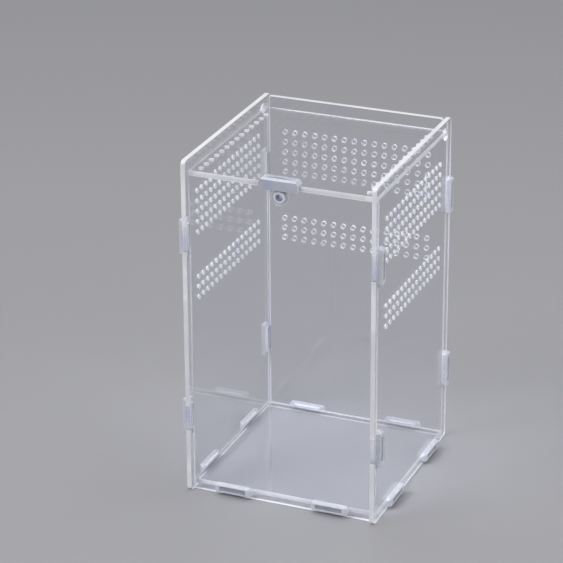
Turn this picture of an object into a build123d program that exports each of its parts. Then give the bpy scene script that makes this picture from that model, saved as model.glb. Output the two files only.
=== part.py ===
from build123d import *

import os
from math import hypot

# Clear acrylic terrarium: six laser-cut sheets joined by tabs and slots, with press-on caps
# over the tabs. Millimetres, +Z up, +Y to the back, origin on the ground under the centre.

# Sheets
SHEET = 3.0  # thickness of every sheet
BOX_WIDTH = 126.0  # across the outer faces of the side sheets
BOX_DEPTH = 126.0  # across the outer faces of the front and back sheets
HEIGHT = 223.0  # height of the side and back sheets
SIDE_OVERHANG = 4.0  # side sheets run past the front and back sheets
CORNER_RADIUS = 3.0  # rounded corners of the side and back sheets

# Tabs and the slots that they pass through
TAB_LENGTH = 17.6
TAB_REACH = 2.6  # how far a tab stands out of the wall
SLOT_PLAY = 0.1  # clearance all round a tab in its slot
WALL_TAB_OFFSET = 60.6  # wall tabs above and below mid-height
FLOOR_TAB_OFFSET = 32.5  # floor tabs from the middle of each side

# Press-on caps: a hull whose sides and ends slope in from an upright foot to a flat crown
CLIP_LENGTH = 25.5
CLIP_WIDTH = 6.5
CLIP_HEIGHT = 3.3
CLIP_CORNER = 2.0  # cut off each corner of the foot
CLIP_FOOT = 0.6  # height of the upright part
CROWN_LENGTH = 22.0
CROWN_WIDTH = 4.7
GROUND_CLEARANCE = 1.5  # under the caps of the floor tabs

# Lid, its pivot ears and its latch cap
LID_DROP = 7.0  # top of the lid below the rim
LID_SIDE_GAP = 0.4
LID_REAR_GAP = 0.6
LID_SEAT_GAP = 0.1  # over the front sheet's top edge
EAR_WIDTH = 6.8
EAR_RECESS = 0.2  # ear end inside the side sheet's outer face
PIVOT_PLAY = 0.3  # between the ear's corners and its round hole
LATCH_PLAY = 0.3  # around the front tab, in the lid and in the latch cap
LATCH_FRONT = 2.8  # latch cap's front face from the front sheet
LATCH_SKIRT_GAP = 1.1  # between the skirt and the front sheet
LATCH_SKIRT_DROP = 4.0  # skirt below the top of the lid

# Ventilation holes
HOLE_DIAMETER = 3.0
HOLE_SIDES = 6  # the many small holes are drawn with few sides
HOLE_PITCH = 6.8
HOLE_COLUMNS = 15
UPPER_ROWS = 5
LOWER_ROWS = 3
UPPER_FIRST_ROW = 25.6  # below the rim
LOWER_FIRST_ROW = 82.5  # below the rim
LID_HOLE_COUNT = 14  # in each of the lid's two rows
LID_HOLE_SIDE_INSET = 5.7  # from the inner face of the side sheet
LID_HOLE_FRONT_INSET = 7.0  # first hole from the lid's front edge
LID_HOLE_REAR_INSET = 14.0  # last hole from the lid's rear edge

# Lead port in the front sheet, under the latch
PORT_BORE = 4.6
PORT_BODY = 7.6
PORT_FLANGE = 11.0
PORT_FLANGE_THICKNESS = 0.8
PORT_NOSE = 1.6  # grommet in front of the front sheet
PORT_LIP = 9.0  # grommet's collar inside the box
PORT_LIP_THICKNESS = 1.0
PORT_ROUNDING = 0.6

# Levels and planes that follow from the sizes above
half_width = BOX_WIDTH / 2
half_depth = BOX_DEPTH / 2
inner_width = BOX_WIDTH - 2 * SHEET
inner_depth = BOX_DEPTH - 2 * SHEET
side_depth = BOX_DEPTH + 2 * SIDE_OVERHANG
wall_mid_y = half_depth - SHEET / 2
floor_mid_z = CLIP_WIDTH / 2 + GROUND_CLEARANCE
floor_bottom = floor_mid_z - SHEET / 2
lid_top = HEIGHT - LID_DROP
lid_bottom = lid_top - SHEET
front_top = lid_bottom - LID_SEAT_GAP
tab_span = SHEET + TAB_REACH
slot_length = TAB_LENGTH + 2 * SLOT_PLAY
slot_width = SHEET + 2 * SLOT_PLAY
wall_tab_heights = {"upper": HEIGHT / 2 + WALL_TAB_OFFSET, "lower": HEIGHT / 2 - WALL_TAB_OFFSET}
pivot_radius = hypot(EAR_WIDTH / 2, SHEET / 2)
lid_rear = half_depth - SHEET - LID_REAR_GAP
pivot_y = lid_rear - EAR_WIDTH / 2
pivot_z = lid_top - SHEET / 2
port_z = front_top - PORT_FLANGE / 2


def upright_sheet(outline, y):
    """A sheet parallel to the front, drawn in X and Z, whose front face is at y."""
    face_plane = Plane(origin=(0, y, 0), x_dir=(1, 0, 0), z_dir=(0, -1, 0))
    return extrude(face_plane * outline, -SHEET)


def side_sheet(outline, x):
    """A sheet parallel to the sides, drawn in Y and Z, whose left face is at x."""
    face_plane = Plane(origin=(x, 0, 0), x_dir=(0, 1, 0), z_dir=(1, 0, 0))
    return extrude(face_plane * outline, SHEET)


def vent_hole():
    """One ventilation hole's outline, as wide across its flats as the drill."""
    return RegularPolygon(HOLE_DIAMETER / 2, HOLE_SIDES, major_radius=False)


def vent_holes():
    """Both blocks of holes in a wall, drawn in the wall's own width and height."""
    blocks = ((UPPER_FIRST_ROW, UPPER_ROWS), (LOWER_FIRST_ROW, LOWER_ROWS))
    holes = []
    for first_row, rows in blocks:
        middle = HEIGHT - first_row - HOLE_PITCH * (rows - 1) / 2
        grid = GridLocations(HOLE_PITCH, HOLE_PITCH, HOLE_COLUMNS, rows)
        holes += [Pos(0, middle) * place * vent_hole() for place in grid]
    return holes


def floor_slots():
    """The two slots low in a wall that take the floor's tabs."""
    return [
        Pos(side * FLOOR_TAB_OFFSET, floor_mid_z) * Rectangle(slot_length, slot_width)
        for side in (-1, 1)
    ]


def wall_tabs():
    """Tabs on both upright edges of a front or back sheet."""
    edge = inner_width / 2
    return [
        Pos(side * (edge + tab_span / 2), height) * Rectangle(tab_span, TAB_LENGTH)
        for side in (-1, 1)
        for height in wall_tab_heights.values()
    ]


def make_side(x):
    outline = Pos(0, HEIGHT / 2) * RectangleRounded(side_depth, HEIGHT, CORNER_RADIUS)
    outline -= vent_holes() + floor_slots()
    outline -= [
        Pos(end * wall_mid_y, height) * Rectangle(slot_width, slot_length)
        for end in (-1, 1)
        for height in wall_tab_heights.values()
    ]
    outline -= Pos(pivot_y, pivot_z) * Circle(pivot_radius + PIVOT_PLAY)
    return side_sheet(outline, x)


def make_back():
    outline = Pos(0, HEIGHT / 2) * Rectangle(inner_width, HEIGHT)
    top_corners = outline.vertices().group_by(Axis.Y)[-1]
    outline = fillet(top_corners, CORNER_RADIUS)
    outline += wall_tabs()
    outline -= vent_holes() + floor_slots()
    return upright_sheet(outline, half_depth - SHEET)


def make_front():
    outline = Pos(0, front_top / 2) * Rectangle(inner_width, front_top)
    latch_tab_top = lid_top + TAB_REACH
    latch_tab = Pos(0, (front_top + latch_tab_top) / 2) * Rectangle(TAB_LENGTH, latch_tab_top - front_top)
    outline += wall_tabs() + [latch_tab]
    outline -= floor_slots()
    outline -= Pos(0, port_z) * Circle(PORT_BODY / 2)
    return upright_sheet(outline, -half_depth)


def make_floor():
    outline = Rectangle(inner_width, inner_depth)
    for side in (-1, 1):
        for end in (-1, 1):
            along = side * FLOOR_TAB_OFFSET
            out_x = end * (inner_width + tab_span) / 2
            out_y = end * (inner_depth + tab_span) / 2
            outline += Pos(out_x, along) * Rectangle(tab_span, TAB_LENGTH)
            outline += Pos(along, out_y) * Rectangle(TAB_LENGTH, tab_span)
    return extrude(Plane.XY.offset(floor_bottom) * outline, SHEET)


def make_lid():
    lid_width = inner_width - 2 * LID_SIDE_GAP
    lid_length = lid_rear + half_depth
    outline = Pos(0, lid_rear - lid_length / 2) * Rectangle(lid_width, lid_length)
    ear_span = 2 * (half_width - EAR_RECESS)
    outline += Pos(0, pivot_y) * Rectangle(ear_span, EAR_WIDTH)
    notch_depth = SHEET + LATCH_PLAY
    notch = Rectangle(TAB_LENGTH + 2 * LATCH_PLAY, notch_depth)
    outline -= Pos(0, notch_depth / 2 - half_depth) * notch
    row_x = inner_width / 2 - LID_HOLE_SIDE_INSET
    first_y = LID_HOLE_FRONT_INSET - half_depth
    pitch = (lid_rear - LID_HOLE_REAR_INSET - first_y) / (LID_HOLE_COUNT - 1)
    outline -= [
        Pos(side * row_x, first_y + step * pitch) * vent_hole()
        for side in (-1, 1)
        for step in range(LID_HOLE_COUNT)
    ]
    return extrude(Plane.XY.offset(lid_bottom) * outline, SHEET)


def crowned(foot, crown):
    """A cap's profile: upright at the foot, then sloping in to the flat crown."""
    return Polygon(
        (-foot / 2, 0), (foot / 2, 0), (foot / 2, CLIP_FOOT), (crown / 2, CLIP_HEIGHT),
        (-crown / 2, CLIP_HEIGHT), (-foot / 2, CLIP_FOOT), align=None,
    )


def make_clip():
    """A cap lying along X on the plane Z = 0, whose window is filled by the end of a tab."""
    outline = Rectangle(CLIP_LENGTH, CLIP_WIDTH)
    hull = extrude(chamfer(outline.vertices(), CLIP_CORNER), CLIP_HEIGHT)
    hull &= extrude(Plane.XZ * crowned(CLIP_LENGTH, CROWN_LENGTH), CLIP_WIDTH, both=True)
    hull &= extrude(Plane.YZ * crowned(CLIP_WIDTH, CROWN_WIDTH), CLIP_LENGTH, both=True)
    window = Box(TAB_LENGTH, SHEET, CLIP_HEIGHT, align=(Align.CENTER, Align.CENTER, Align.MIN))
    return hull - window


def latch_body(depth):
    """The latch cap's block with sloped ends and bevelled long edges, on the plane Z = 0."""
    body = extrude(Plane.XZ * crowned(CLIP_LENGTH, CROWN_LENGTH), depth / 2, both=True)
    crown_edges = body.edges().filter_by(Axis.X).group_by(Axis.Z)[-1]
    return chamfer(crown_edges, (CLIP_WIDTH - CROWN_WIDTH) / 2)


def make_latch_clip():
    """The lid's cap: it stands on the lid over the front tab, with a skirt down the front."""
    rear_y = CLIP_WIDTH / 2 - wall_mid_y
    front_y = -half_depth - LATCH_FRONT
    depth = rear_y - front_y
    cap = Pos(0, (rear_y + front_y) / 2, lid_top) * latch_body(depth)
    skirt_thickness = LATCH_FRONT - LATCH_SKIRT_GAP
    skirt = Box(CLIP_LENGTH, skirt_thickness, LATCH_SKIRT_DROP)
    cap += Pos(0, front_y + skirt_thickness / 2, lid_top - LATCH_SKIRT_DROP / 2) * skirt
    window = Box(TAB_LENGTH + 2 * LATCH_PLAY, SHEET + 2 * LATCH_PLAY, 2 * CLIP_HEIGHT)
    return cap - Pos(0, -wall_mid_y, lid_top + CLIP_HEIGHT) * window


def clip_places():
    """Each cap's name and the frame on the wall where it sits: X along it, Z outwards."""
    places = {}
    for side, x in (("left", -1), ("right", 1)):
        for end, y in (("front", -1), ("rear", 1)):
            for level, height in wall_tab_heights.items():
                places[f"clip_{side}_{end}_{level}"] = Plane(
                    origin=(x * half_width, y * wall_mid_y, height), x_dir=(0, 0, 1), z_dir=(x, 0, 0)
                )
            places[f"clip_floor_{side}_{end}"] = Plane(
                origin=(x * half_width, y * FLOOR_TAB_OFFSET, floor_mid_z), x_dir=(0, 1, 0), z_dir=(x, 0, 0)
            )
            places[f"clip_floor_{end}_{side}"] = Plane(
                origin=(x * FLOOR_TAB_OFFSET, y * half_depth, floor_mid_z), x_dir=(1, 0, 0), z_dir=(0, y, 0)
            )
    return places


def make_port_flange():
    """The clear washer on the front sheet, around the port."""
    ring = Circle(PORT_FLANGE / 2) - Circle(PORT_BODY / 2)
    face_plane = Plane(origin=(0, -half_depth, port_z), x_dir=(1, 0, 0), z_dir=(0, -1, 0))
    return extrude(face_plane * ring, PORT_FLANGE_THICKNESS)


def make_port_grommet():
    """The soft bush through the sheet and washer: a rounded nose and a collar inside."""
    axis_plane = Plane(origin=(0, -half_depth + SHEET, port_z), x_dir=(1, 0, 0), z_dir=(0, -1, 0))
    nose_length = SHEET + PORT_NOSE
    body = Cylinder(PORT_BODY / 2, nose_length, align=(Align.CENTER, Align.CENTER, Align.MIN))
    body = fillet(body.edges().group_by(Axis.Z)[-1], PORT_ROUNDING)
    lip = Cylinder(PORT_LIP / 2, PORT_LIP_THICKNESS, align=(Align.CENTER, Align.CENTER, Align.MAX))
    bore_length = 3 * (nose_length + PORT_LIP_THICKNESS)
    return axis_plane * (body + lip - Cylinder(PORT_BORE / 2, bore_length))


parts = {
    "left_panel": make_side(-half_width),
    "right_panel": make_side(half_width - SHEET),
    "back_panel": make_back(),
    "front_panel": make_front(),
    "floor_panel": make_floor(),
    "lid_panel": make_lid(),
    "latch_clip": make_latch_clip(),
    "port_flange": make_port_flange(),
    "port_grommet": make_port_grommet(),
}
clip = make_clip()
for clip_name, place in clip_places().items():
    parts[clip_name] = place * clip

os.makedirs("parts", exist_ok=True)
for node, shape in parts.items():
    export_step(shape, f"parts/{node}.step")
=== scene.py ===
from math import atan2, cos, pi, radians, sin, tan

import bmesh
import bpy
from mathutils import Matrix, Vector


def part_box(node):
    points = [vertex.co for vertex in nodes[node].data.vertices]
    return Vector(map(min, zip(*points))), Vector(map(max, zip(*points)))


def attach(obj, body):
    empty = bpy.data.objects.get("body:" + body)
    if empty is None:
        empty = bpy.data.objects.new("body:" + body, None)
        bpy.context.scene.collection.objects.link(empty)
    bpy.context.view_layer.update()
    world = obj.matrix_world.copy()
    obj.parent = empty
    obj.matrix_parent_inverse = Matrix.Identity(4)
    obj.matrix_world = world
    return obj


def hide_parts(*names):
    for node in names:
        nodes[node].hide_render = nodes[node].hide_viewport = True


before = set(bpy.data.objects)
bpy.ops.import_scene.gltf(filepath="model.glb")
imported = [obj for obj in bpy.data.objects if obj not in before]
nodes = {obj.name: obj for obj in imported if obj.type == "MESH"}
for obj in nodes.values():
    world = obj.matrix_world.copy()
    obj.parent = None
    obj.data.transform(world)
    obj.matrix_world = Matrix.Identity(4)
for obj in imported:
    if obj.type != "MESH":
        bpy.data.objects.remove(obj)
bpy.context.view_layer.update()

# Looks of the clear acrylic terrarium: sheets with polished edges and round holes, milky caps.
# Metres, in the frame's own axes: +Z up, +Y to the back.

MM = 0.001

# Gaps around the lid
LID_SIDE_GAP = 0.4 * MM
LID_SEAT_GAP = 0.1 * MM  # over the front sheet's top edge

# Sheets, read from the frame
left_low, left_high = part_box("left_panel")
right_low, right_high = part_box("right_panel")
front_low, front_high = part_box("front_panel")
back_low, back_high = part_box("back_panel")
floor_low, floor_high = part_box("floor_panel")
lid_low, lid_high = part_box("lid_panel")
SHEET = left_high.x - left_low.x
HEIGHT = left_high.z
INNER_HALF = right_low.x
LID_TOP = lid_high.z
LID_BOTTOM = lid_low.z
FRONT_TOP = LID_BOTTOM - LID_SEAT_GAP
FLOOR_MID = (floor_low.z + floor_high.z) / 2
WALL_MID_Y = (back_low.y + back_high.y) / 2

# Joints of the sheets
BUTT_GAP = 0.04 * MM  # left between two sheets that meet
TAB_LENGTH = 17.5 * MM
SLOT_LENGTH = 17.8 * MM
SLOT_WIDTH = 3.2 * MM
WALL_TAB_OFFSET = 60.6 * MM
FLOOR_TAB_OFFSET = 32.5 * MM
EAR_WIDTH = 6.8 * MM
PIVOT_RADIUS = 4.02 * MM
LATCH_NOTCH_LENGTH = 18.2 * MM
LATCH_NOTCH_DEPTH = 3.3 * MM
PORT_RADIUS = 3.8 * MM
WASHER_RADIUS = 5.5 * MM
BORE_RADIUS = 2.36 * MM  # with a hair of its rounded mouth
# Along this stretch the edge is coloured darker lilac: painted shade where the slot stops light
# piped along the sheet
EDGE_WINDOW = 16.5 * MM  # clear stretch of a side sheet's edge beside a slot

# Ventilation holes
HOLE_RADIUS = 1.5 * MM
HOLE_SIDES = 28
LARGE_HOLE_SIDES = 48  # the pivot holes and the port
HOLE_PITCH = 6.8 * MM
HOLE_COLUMNS = 15
UPPER_BLOCK = (25.6 * MM, 5)  # first row below the rim, number of rows
LOWER_BLOCK = (82.5 * MM, 3)
LID_HOLE_COUNT = 14
LID_HOLE_SIDE_INSET = 5.7 * MM
LID_HOLE_FRONT_INSET = 7.0 * MM
LID_HOLE_REAR_INSET = 14.0 * MM

# Roundings
CORNER_RADIUS = 3.0 * MM
CUT_RADIUS = 0.25 * MM  # left by the laser beam in every corner
EDGE_ROUNDING = 0.15 * MM
ROUND_MIDDLE = 0.29  # how far a quarter round's middle lies behind each face, in radii
CAP_ROUNDING = 0.35 * MM
CAP_CREASE = 12  # degrees; the caps' long sides slope in by 18
WASHER_ROUNDING = 0.15 * MM
BUSH_ROUNDING = 0.12 * MM
CONTACT = 0.01 * MM  # a point this close to a wall touches it
CONTACT_LIFT = 0.02 * MM

# Colours
PALE_GREY = (0.38, 0.38, 0.395, 1)  # floor and surround, dark enough to show white edges
# Lilac of the clear edge stretches, the tab ends, the latch cap's face and the bore: painted shade,
# darker where little light reaches
SHADE_LILAC = (0.68, 0.71, 0.92, 1)
# Pale and white of the laser-cut edges and hole walls: a slight frost, whitened further as painted
# light, a glow that stands in for light piped along the sheets
FROST_GLOW_PALE = (0.9, 0.91, 0.98, 1)
FROST_GLOW_WHITE = (0.98, 0.985, 1.0, 1)
SCATTER = (0.9, 0.95, 1.0)  # how far light of each colour spreads in the milky plastics

# Laser-cut edges: roughness, transmission, darkest and lightest colour
# Outer edges and the washer's rim, then the hole walls: a painted glow over a slight frost
EDGE_GLOW_CUT = (0.35, 0.12, FROST_GLOW_PALE, FROST_GLOW_WHITE)
HOLE_GLOW_CUT = (0.6, 0.0, FROST_GLOW_PALE, FROST_GLOW_WHITE)
# Clear edge stretches and tab ends: clear, with a darker lilac as painted shade
CLEAR_SHADED_CUT = (0.2, 0.52, SHADE_LILAC, FROST_GLOW_PALE)
# The bore's lilac is painted shade inside the hole
BORE_SHADE = (0.25, 0.6, SHADE_LILAC, SHADE_LILAC)

# Stretch of the cutting lines, by the axis of the sheet's thickness
LINES_ALONG = {"x": (0.05, 1, 1), "y": (1, 0.05, 1), "z": (1, 1, 0.05)}

# A face whose normal has more than this share along Y is a flat front or back face
LATCH_FLAT = 0.95
WASHER_FLAT = 0.97

# Stage
STAGE_RADIUS = 14
STAGE_DROP = 0.05 * MM  # keeps the floor clear of the walls' bottom edges

# Camera and photograph
IMAGE_WIDTH = 563
FOCAL_PIXELS = 2626.8
SENSOR = 36.0
AZIMUTH = radians(22.5542)
ELEVATION = radians(23.5732)
ROLL = radians(-0.3298)
UNIT = 0.126  # box width, in which the distances below are given
DISTANCE = 13.1342
SIDE_SHIFT = -0.187
UP_SHIFT = 0.113


def arc(centre, radius, start, end, steps):
    """Points on an arc, both ends included."""
    turns = [start + (end - start) * i / steps for i in range(steps + 1)]
    return [centre + Vector((cos(t), sin(t))) * radius for t in turns]


def rounded(corners):
    """A closed outline through corners given as (x, y, radius), each rounded."""
    outline = []
    count = len(corners)
    for i, (x, y, radius) in enumerate(corners):
        here = Vector((x, y))
        if radius == 0:
            outline.append(here)
            continue
        before = (Vector(corners[i - 1][:2]) - here).normalized()
        after = (Vector(corners[(i + 1) % count][:2]) - here).normalized()
        half = before.angle(after) / 2
        middle = here + (before + after).normalized() * (radius / sin(half))
        first = here + before * (radius / tan(half)) - middle
        last = here + after * (radius / tan(half)) - middle
        start = atan2(first.y, first.x)
        sweep = (atan2(last.y, last.x) - start + pi) % (2 * pi) - pi
        steps = 8 if radius > 1 * MM else 2
        outline += arc(middle, radius, start, start + sweep, steps)
    return outline


def round_hole(x, y, radius, sides=HOLE_SIDES):
    """A clockwise circle."""
    return arc(Vector((x, y)), radius, 0, -2 * pi * (sides - 1) / sides, sides - 1)


def slot_hole(x, y, width, height):
    """A clockwise rectangle with the corners that a laser leaves."""
    corners = [(-1, -1), (-1, 1), (1, 1), (1, -1)]
    return rounded([(x + a * width / 2, y + b * height / 2, CUT_RADIUS) for a, b in corners])


def inset(loop, amount):
    """The loop moved into the material, which lies on its left."""
    moved = []
    for i, here in enumerate(loop):
        ahead = (loop[(i + 1) % len(loop)] - here).normalized()
        behind = (here - loop[i - 1]).normalized()
        left_ahead = Vector((-ahead.y, ahead.x))
        left_behind = Vector((-behind.y, behind.x))
        mitre = (left_ahead + left_behind) / (1 + left_ahead.dot(left_behind))
        moved.append(here + mitre * amount)
    return moved


def finish_mesh(bm, name, materials):
    """Turns a bmesh into a piece with these materials."""
    mesh = bpy.data.meshes.new(name)
    bmesh.ops.recalc_face_normals(bm, faces=bm.faces)
    bm.to_mesh(mesh)
    bm.free()
    for material in materials:
        mesh.materials.append(material)
    piece = bpy.data.objects.new(name, mesh)
    bpy.context.scene.collection.objects.link(piece)
    return piece


def sheet(name, place, outline, holes, materials, is_shaded_window=None):
    """A sheet with rounded edges. place maps its drawing and its thickness to the frame, and
    its last argument tells where the outer edge is clear, with a darker lilac there as painted
    shade."""
    bm = bmesh.new()
    step = EDGE_ROUNDING
    middle = ROUND_MIDDLE * step
    levels = [
        (0, step), (middle, middle), (step, 0),
        (SHEET - step, 0), (SHEET - middle, middle), (SHEET, step),
    ]
    low_edges, high_edges = [], []
    for number, loop in enumerate([outline] + holes):
        rings = [
            [bm.verts.new(place @ Vector((p.x, p.y, depth))) for p in inset(loop, amount)]
            for depth, amount in levels
        ]
        for lower, upper in zip(rings, rings[1:]):
            for i in range(len(loop)):
                face = bm.faces.new((lower[i - 1], lower[i], upper[i], upper[i - 1]))
                face.material_index = 1 if number == 0 else 2
                if number == 0 and is_shaded_window and is_shaded_window((loop[i - 1] + loop[i]) / 2):
                    face.material_index = 3
                face.smooth = True
        for ring, edges in ((rings[0], low_edges), (rings[-1], high_edges)):
            edges += [bm.edges.get((ring[i - 1], ring[i])) for i in range(len(ring))]
    for edges in (low_edges, high_edges):
        bmesh.ops.triangle_fill(bm, use_beauty=True, use_dissolve=False, edges=edges)
    return finish_mesh(bm, name, materials)


def facing(origin, across, up, out):
    """The frame of a drawing: its X, its Y and the direction of its thickness."""
    return Matrix((
        (across[0], up[0], out[0], origin[0]),
        (across[1], up[1], out[1], origin[1]),
        (across[2], up[2], out[2], origin[2]),
        (0, 0, 0, 1),
    ))


def wall_vents():
    holes = []
    for first_row, rows in (UPPER_BLOCK, LOWER_BLOCK):
        for row in range(rows):
            for column in range(HOLE_COLUMNS):
                x = (column - (HOLE_COLUMNS - 1) / 2) * HOLE_PITCH
                holes.append(round_hole(x, HEIGHT - first_row - row * HOLE_PITCH, HOLE_RADIUS))
    return holes


def floor_slots():
    return [
        slot_hole(side * FLOOR_TAB_OFFSET, FLOOR_MID, SLOT_LENGTH, SLOT_WIDTH) for side in (-1, 1)
    ]


def side_sheet(name, x_low, low, high, materials):
    """A side sheet. Its edges are clear where a slot lies close behind them, and there coloured
    darker lilac as painted shade where the slot stops light piped along the sheet.
    """
    heights = [HEIGHT / 2 + WALL_TAB_OFFSET, HEIGHT / 2 - WALL_TAB_OFFSET]
    marks = [height + step * EDGE_WINDOW / 2 for height in heights for step in (1, -1)]
    corners = [(low.y, 0, CORNER_RADIUS), (high.y, 0, CORNER_RADIUS)]
    corners += [(high.y, mark, 0) for mark in reversed(marks)]
    corners += [(high.y, HEIGHT, CORNER_RADIUS), (low.y, HEIGHT, CORNER_RADIUS)]
    corners += [(low.y, mark, 0) for mark in marks]
    holes = wall_vents() + floor_slots()
    for end in (-1, 1):
        for height in heights:
            holes.append(slot_hole(end * WALL_MID_Y, height, SLOT_WIDTH, SLOT_LENGTH))

    def is_shaded_window(point):
        return any(abs(point.y - height) < EDGE_WINDOW / 2 for height in heights)

    pivot_y = lid_high.y - EAR_WIDTH / 2
    holes.append(round_hole(pivot_y, LID_TOP - SHEET / 2, PIVOT_RADIUS, LARGE_HOLE_SIDES))
    place = facing((x_low, 0, 0), (0, 1, 0), (0, 0, 1), (1, 0, 0))
    return sheet(name, place, rounded(corners), holes, materials, is_shaded_window)


def tab_ends(reach_across, reach_up):
    """Tells where an outer edge is the end of a tab, which is clear and coloured darker lilac as
    painted shade.
    """
    def is_shaded_window(point):
        return abs(point.x) > reach_across - CUT_RADIUS or abs(point.y) > reach_up - CUT_RADIUS
    return is_shaded_window


def tabbed_edge(edge, reach, sign, centres):
    """Corners along an upright edge with tabs, going up on the right and down on the left."""
    points = []
    for centre in sorted(centres, reverse=sign < 0):
        near, far = centre - sign * TAB_LENGTH / 2, centre + sign * TAB_LENGTH / 2
        points += [(edge, near, CUT_RADIUS), (reach, near, CUT_RADIUS)]
        points += [(reach, far, CUT_RADIUS), (edge, far, CUT_RADIUS)]
    return points


def upright_sheet(name, low, high, top, top_radius, top_tab, holes, materials):
    """The front or back sheet."""
    edge = INNER_HALF - BUTT_GAP
    heights = [HEIGHT / 2 - WALL_TAB_OFFSET, HEIGHT / 2 + WALL_TAB_OFFSET]
    corners = [(-edge, 0, CUT_RADIUS), (edge, 0, CUT_RADIUS)]
    corners += tabbed_edge(edge, high.x, 1, heights)
    corners.append((edge, top, top_radius))
    if top_tab:
        for x, z in ((1, top), (1, top_tab), (-1, top_tab), (-1, top)):
            corners.append((x * TAB_LENGTH / 2, z, CUT_RADIUS))
    corners.append((-edge, top, top_radius))
    corners += tabbed_edge(-edge, low.x, -1, heights)
    place = facing((0, high.y, 0), (1, 0, 0), (0, 0, 1), (0, -1, 0))
    is_shaded_window = tab_ends(high.x, top_tab or 2 * HEIGHT)
    return sheet(name, place, rounded(corners), holes + floor_slots(), materials, is_shaded_window)


def floor_sheet(materials):
    edge = INNER_HALF - BUTT_GAP
    reach = floor_high.x
    offsets = [-FLOOR_TAB_OFFSET, FLOOR_TAB_OFFSET]
    right = tabbed_edge(edge, reach, 1, offsets)
    corners = []
    for turn in range(4):
        quarter = Matrix.Rotation(turn * pi / 2, 2)
        corner = quarter @ Vector((edge, -edge))
        corners.append((corner.x, corner.y, CUT_RADIUS))
        for x, y, radius in right:
            point = quarter @ Vector((x, y))
            corners.append((point.x, point.y, radius))
    place = facing((0, 0, floor_low.z), (1, 0, 0), (0, 1, 0), (0, 0, 1))
    return sheet("floor_sheet", place, rounded(corners), [], materials, tab_ends(reach, reach))


def lid_sheet(materials):
    edge = INNER_HALF - LID_SIDE_GAP
    front, rear, ear_front = lid_low.y, lid_high.y, lid_high.y - EAR_WIDTH
    half, deep = LATCH_NOTCH_LENGTH / 2, front + LATCH_NOTCH_DEPTH
    right = [(edge, front), (edge, ear_front), (lid_high.x, ear_front), (lid_high.x, rear)]
    left = [(-x, y) for x, y in reversed(right)]
    notch = [(-half, front), (-half, deep), (half, deep), (half, front)]
    outline = rounded([(x, y, CUT_RADIUS) for x, y in right + left + notch])
    first_y = front + LID_HOLE_FRONT_INSET
    pitch = (rear - LID_HOLE_REAR_INSET - first_y) / (LID_HOLE_COUNT - 1)
    row_x = INNER_HALF - LID_HOLE_SIDE_INSET
    holes = [
        round_hole(side * row_x, first_y + step * pitch, HOLE_RADIUS)
        for side in (-1, 1)
        for step in range(LID_HOLE_COUNT)
    ]
    place = facing((0, 0, LID_BOTTOM), (1, 0, 0), (0, 1, 0), (0, 0, 1))
    return sheet("lid_sheet", place, outline, holes, materials)


def softened(node, name, rounding, materials, adjust=None, crease=25):
    """The frame's own solid with edges above the crease angle rounded. adjust moves a point
    that touches a neighbour."""
    bm = bmesh.new()
    bm.from_mesh(nodes[node].data)
    bmesh.ops.remove_doubles(bm, verts=bm.verts, dist=0.001 * MM)
    bmesh.ops.dissolve_limit(bm, angle_limit=radians(1), verts=bm.verts, edges=bm.edges)
    if adjust:
        for vert in bm.verts:
            vert.co = adjust(vert.co)
    sharp = [edge for edge in bm.edges if edge.calc_face_angle() > radians(crease)]
    for face in bm.faces:
        angles = [edge.calc_face_angle() for edge in face.edges]
        face.smooth = any(radians(1) < angle <= radians(crease) for angle in angles)
    rounded_off = bmesh.ops.bevel(bm, geom=sharp, offset=rounding, segments=3, profile=0.5,
                                  affect="EDGES", clamp_overlap=True)
    for face in rounded_off["faces"]:
        face.smooth = True
    bmesh.ops.triangulate(bm, faces=bm.faces)
    return finish_mesh(bm, name, materials)


def new_material(name):
    material = bpy.data.materials.new(name)
    material.use_nodes = True
    tree = material.node_tree
    return material, tree, tree.nodes["Principled BSDF"]


def texture_space(tree, scale):
    """Object coordinates in metres, scaled along each axis."""
    coordinates = tree.nodes.new("ShaderNodeTexCoord")
    mapping = tree.nodes.new("ShaderNodeMapping")
    mapping.inputs["Scale"].default_value = scale
    tree.links.new(coordinates.outputs["Object"], mapping.inputs["Vector"])
    return mapping.outputs["Vector"]


def noise(tree, vector, scale, detail=2.0):
    node = tree.nodes.new("ShaderNodeTexNoise")
    node.inputs["Scale"].default_value = scale
    node.inputs["Detail"].default_value = detail
    tree.links.new(vector, node.inputs["Vector"])
    return node.outputs["Fac"]


def remap(tree, value, low, high, new_low, new_high):
    node = tree.nodes.new("ShaderNodeMapRange")
    limits = {"From Min": low, "From Max": high, "To Min": new_low, "To Max": new_high}
    for socket, number in limits.items():
        node.inputs[socket].default_value = number
    tree.links.new(value, node.inputs["Value"])
    return node.outputs["Result"]


def bump(tree, height, distance, strength=1.0):
    node = tree.nodes.new("ShaderNodeBump")
    node.inputs["Strength"].default_value = strength
    node.inputs["Distance"].default_value = distance
    tree.links.new(height, node.inputs["Height"])
    return node.outputs["Normal"]


def colours(tree, value, low, dark, high, light):
    """A blend from dark to light as the value goes from low to high."""
    ramp = tree.nodes.new("ShaderNodeValToRGB")
    for element, position, colour in zip(ramp.color_ramp.elements, (low, high), (dark, light)):
        element.position = position
        element.color = colour
    tree.links.new(value, ramp.inputs["Fac"])
    return ramp.outputs["Color"]


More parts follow.
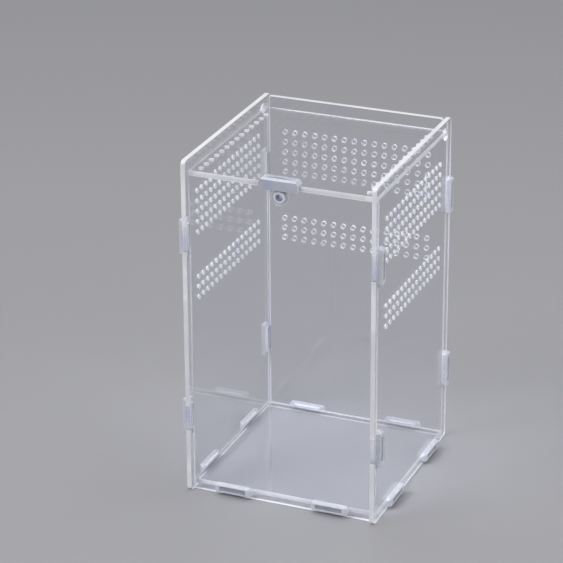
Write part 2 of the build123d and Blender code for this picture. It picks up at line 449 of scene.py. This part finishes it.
def let_lamps_through(tree, shader, tint):
    """Lamp rays pass the clear plastic instead of being stopped by it."""
    path = tree.nodes.new("ShaderNodeLightPath")
    clear = tree.nodes.new("ShaderNodeBsdfTransparent")
    clear.inputs["Color"].default_value = tint
    mix = tree.nodes.new("ShaderNodeMixShader")
    output = tree.nodes["Material Output"]
    tree.links.new(path.outputs["Is Shadow Ray"], mix.inputs[0])
    tree.links.new(shader.outputs["BSDF"], mix.inputs[1])
    tree.links.new(clear.outputs["BSDF"], mix.inputs[2])
    tree.links.new(mix.outputs["Shader"], output.inputs["Surface"])


def clear_acrylic():
    """Polished faces: clear with a faint lilac tint, wiping marks and a few hairline scratches."""
    material, tree, shader = new_material("polished_acrylic")
    shader.inputs["Base Color"].default_value = (0.975, 0.98, 1.0, 1)
    shader.inputs["IOR"].default_value = 1.49
    shader.inputs["Transmission Weight"].default_value = 1.0
    wiped = noise(tree, texture_space(tree, (1, 1, 0.25)), 40, 3)
    tree.links.new(remap(tree, wiped, 0.45, 0.8, 0.0, 0.05), shader.inputs["Roughness"])
    scratches = noise(tree, texture_space(tree, (900, 60, 60)), 1.0, 1)
    tree.links.new(bump(tree, scratches, 0.001 * MM, 0.3), shader.inputs["Normal"])
    let_lamps_through(tree, shader, (0.95, 0.955, 0.98, 1))
    return material


def cut_edge(name, stretch, roughness, transmission, dark, light):
    """Laser-cut edges, with fine lines across the sheet's thickness."""
    material, tree, shader = new_material(name)
    shader.inputs["IOR"].default_value = 1.49
    shader.inputs["Transmission Weight"].default_value = transmission
    lines = noise(tree, texture_space(tree, stretch), 5200, 2)
    patches = noise(tree, texture_space(tree, (1, 1, 1)), 60, 2)
    rough = remap(tree, lines, 0.3, 0.7, roughness * 0.8, roughness * 1.25)
    tree.links.new(rough, shader.inputs["Roughness"])
    tree.links.new(colours(tree, patches, 0.35, dark, 0.6, light), shader.inputs["Base Color"])
    tree.links.new(bump(tree, lines, 0.008 * MM, 0.3), shader.inputs["Normal"])
    return material


def milky_plastic():
    """Caps: translucent milky plastic with cloudy flow marks and a fine grain."""
    material, tree, shader = new_material("milky_cap")
    shader.inputs["IOR"].default_value = 1.5
    shader.inputs["Transmission Weight"].default_value = 0.22
    shader.inputs["Subsurface Weight"].default_value = 0.6
    shader.inputs["Subsurface Radius"].default_value = SCATTER
    shader.inputs["Subsurface Scale"].default_value = 1.5 * MM
    flow = noise(tree, texture_space(tree, (1, 1, 1)), 260, 3)
    milk = colours(tree, flow, 0.3, (0.77, 0.8, 0.95, 1), 0.7, (0.89, 0.91, 0.99, 1))
    tree.links.new(milk, shader.inputs["Base Color"])
    grain = noise(tree, texture_space(tree, (1, 1, 1)), 3000, 2)
    tree.links.new(remap(tree, grain, 0.3, 0.7, 0.22, 0.38), shader.inputs["Roughness"])
    tree.links.new(bump(tree, grain, 0.02 * MM, 0.35), shader.inputs["Normal"])
    return material


def soft_plastic():
    """The port's bush: soft, pale and matt."""
    material, tree, shader = new_material("soft_bush")
    shader.inputs["Transmission Weight"].default_value = 0.1
    shader.inputs["Subsurface Weight"].default_value = 0.2
    shader.inputs["Subsurface Radius"].default_value = SCATTER
    shader.inputs["Subsurface Scale"].default_value = 1.0 * MM
    grain = noise(tree, texture_space(tree, (1, 1, 1)), 1800, 3)
    chalk = colours(tree, grain, 0.3, (0.78, 0.79, 0.88, 1), 0.7, (0.9, 0.91, 0.97, 1))
    tree.links.new(chalk, shader.inputs["Base Color"])
    tree.links.new(remap(tree, grain, 0.3, 0.7, 0.4, 0.6), shader.inputs["Roughness"])
    tree.links.new(bump(tree, grain, 0.03 * MM, 0.4), shader.inputs["Normal"])
    return material


def dress(piece, node, body):
    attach(piece, body)
    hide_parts(node)


def build_sheets():
    polished = clear_acrylic()
    for_axis = {}
    for axis, stretch in LINES_ALONG.items():
        for_axis[axis] = [
            polished,
            # Outer edges and hole walls are whitened with a painted glow over a slight frost
            cut_edge(f"cut_edge_{axis}", stretch, *EDGE_GLOW_CUT),
            cut_edge(f"cut_hole_{axis}", stretch, *HOLE_GLOW_CUT),
            # Clear edge stretches and tab ends, in darker lilac as painted shade
            cut_edge(f"shaded_edge_window_{axis}", stretch, *CLEAR_SHADED_CUT),
        ]
    port = round_hole(0, FRONT_TOP - WASHER_RADIUS, PORT_RADIUS, LARGE_HOLE_SIDES)
    pieces = {
        "left_panel": side_sheet("left_sheet", left_low.x, left_low, left_high, for_axis["x"]),
        "right_panel": side_sheet("right_sheet", right_low.x, right_low, right_high, for_axis["x"]),
        "back_panel": upright_sheet("back_sheet", back_low, back_high, HEIGHT, CORNER_RADIUS, None,
                                    wall_vents(), for_axis["y"]),
        "front_panel": upright_sheet("front_sheet", front_low, front_high, FRONT_TOP, CUT_RADIUS,
                                     front_high.z, [port], for_axis["y"]),
        "floor_panel": floor_sheet(for_axis["z"]),
        "lid_panel": lid_sheet(for_axis["z"]),
    }
    for node, piece in pieces.items():
        dress(piece, node, "lid" if node == "lid_panel" else "tank")


def clear_of_wall(axis, sign, wall):
    """Lifts the foot of a cap or washer a hair off the sheet it sits on."""
    def adjust(point):
        moved = point.copy()
        if abs(moved[axis] - wall) < CONTACT:
            moved[axis] += sign * CONTACT_LIFT
        return moved
    return adjust


def build_caps():
    """All the caps. The latch cap's front face is see-through lilac, painted darker as shade inside
    the milky cap.
    """
    milky = milky_plastic()
    for node in sorted(nodes):
        if not node.startswith("clip_"):
            continue
        low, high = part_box(node)
        sizes = high - low
        axis = min(range(2), key=lambda i: sizes[i])
        sign = 1 if low[axis] + high[axis] > 0 else -1
        wall = low[axis] if sign > 0 else high[axis]
        piece = softened(node, node.replace("clip_", "cap_"), CAP_ROUNDING, [milky],
                         clear_of_wall(axis, sign, wall), CAP_CREASE)
        dress(piece, node, "tank")
    latch_shade_window = cut_edge("latch_front_shade", LINES_ALONG["z"], *CLEAR_SHADED_CUT)
    latch = softened("latch_clip", "latch_cap", CAP_ROUNDING, [milky, latch_shade_window],
                     clear_of_wall(2, 1, LID_TOP), CAP_CREASE)
    # The front face gets the darker lilac: painted shade where light doesn't reach inside the cap
    for face in latch.data.polygons:
        if face.normal.y < -LATCH_FLAT:
            face.material_index = 1
    dress(latch, "latch_clip", "latch")


def build_port():
    """The washer, clear, its rim whitened by a painted glow over a slight frost, and the soft bush
    with its bore painted darker lilac as shade.
    """
    # The rim's white is a painted glow over a slight frost
    rim = cut_edge("washer_rim", LINES_ALONG["y"], *EDGE_GLOW_CUT)
    washer = softened("port_flange", "port_washer", WASHER_ROUNDING, [clear_acrylic(), rim],
                      clear_of_wall(1, -1, front_low.y))
    for face in washer.data.polygons:
        if abs(face.normal.y) < WASHER_FLAT:
            face.material_index = 1
    dress(washer, "port_flange", "tank")
    # The bore is painted darker lilac as shade
    bore = cut_edge("bore_shade_wall", LINES_ALONG["y"], *BORE_SHADE)
    bush = softened("port_grommet", "port_bush", BUSH_ROUNDING, [soft_plastic(), bore])
    port_z = FRONT_TOP - WASHER_RADIUS
    for face in bush.data.polygons:
        if Vector((face.center.x, face.center.z - port_z)).length < BORE_RADIUS:
            face.material_index = 1
    dress(bush, "port_grommet", "tank")


def build_stage():
    """A plain pale floor and a pale surround."""
    material, tree, shader = new_material("pale_floor")
    shader.inputs["Base Color"].default_value = PALE_GREY
    shader.inputs["Roughness"].default_value = 0.6
    bm = bmesh.new()
    bmesh.ops.create_circle(bm, cap_ends=True, segments=96, radius=STAGE_RADIUS)
    floor = finish_mesh(bm, "floor", [material])
    floor.location.z = -STAGE_DROP
    world = bpy.data.worlds.new("studio")
    world.use_nodes = True
    background = world.node_tree.nodes["Background"]
    background.inputs["Color"].default_value = PALE_GREY
    background.inputs["Strength"].default_value = 1.0
    bpy.context.scene.world = world


def softbox(name, place, size, power):
    """A square lamp that faces the middle of the box."""
    lamp = bpy.data.lights.new(name, "AREA")
    lamp.shape = "SQUARE"
    lamp.size = size
    lamp.energy = power
    holder = bpy.data.objects.new(name, lamp)
    bpy.context.scene.collection.objects.link(holder)
    holder.location = place
    aim = Vector((0, 0, HEIGHT / 2)) - Vector(place)
    holder.rotation_euler = aim.to_track_quat("-Z", "Y").to_euler()


def build_lamps():
    softbox("key", (-1.1, -1.2, 1.7), 1.0, 21)
    softbox("fill", (1.6, -0.6, 1.0), 1.0, 10)
    softbox("top", (0.1, 0.5, 2.0), 1.2, 10)


def build_camera():
    back = Vector((sin(AZIMUTH) * cos(ELEVATION), -cos(AZIMUTH) * cos(ELEVATION), sin(ELEVATION)))
    level_right = (-back).cross(Vector((0, 0, 1))).normalized()
    level_up = level_right.cross(-back)
    right = cos(ROLL) * level_right + sin(ROLL) * level_up
    up = cos(ROLL) * level_up - sin(ROLL) * level_right
    place = (back * DISTANCE + right * SIDE_SHIFT + up * UP_SHIFT) * UNIT
    place.z += HEIGHT / 2
    camera = bpy.data.cameras.new("camera")
    camera.sensor_width = SENSOR
    camera.lens = FOCAL_PIXELS / IMAGE_WIDTH * SENSOR
    camera.clip_end = 50
    holder = bpy.data.objects.new("camera", camera)
    bpy.context.scene.collection.objects.link(holder)
    holder.matrix_world = facing(place, right, up, back)
    bpy.context.scene.camera = holder


build_sheets()
build_caps()
build_port()
build_stage()
build_lamps()
build_camera()
bpy.context.scene.view_settings.view_transform = "Standard"
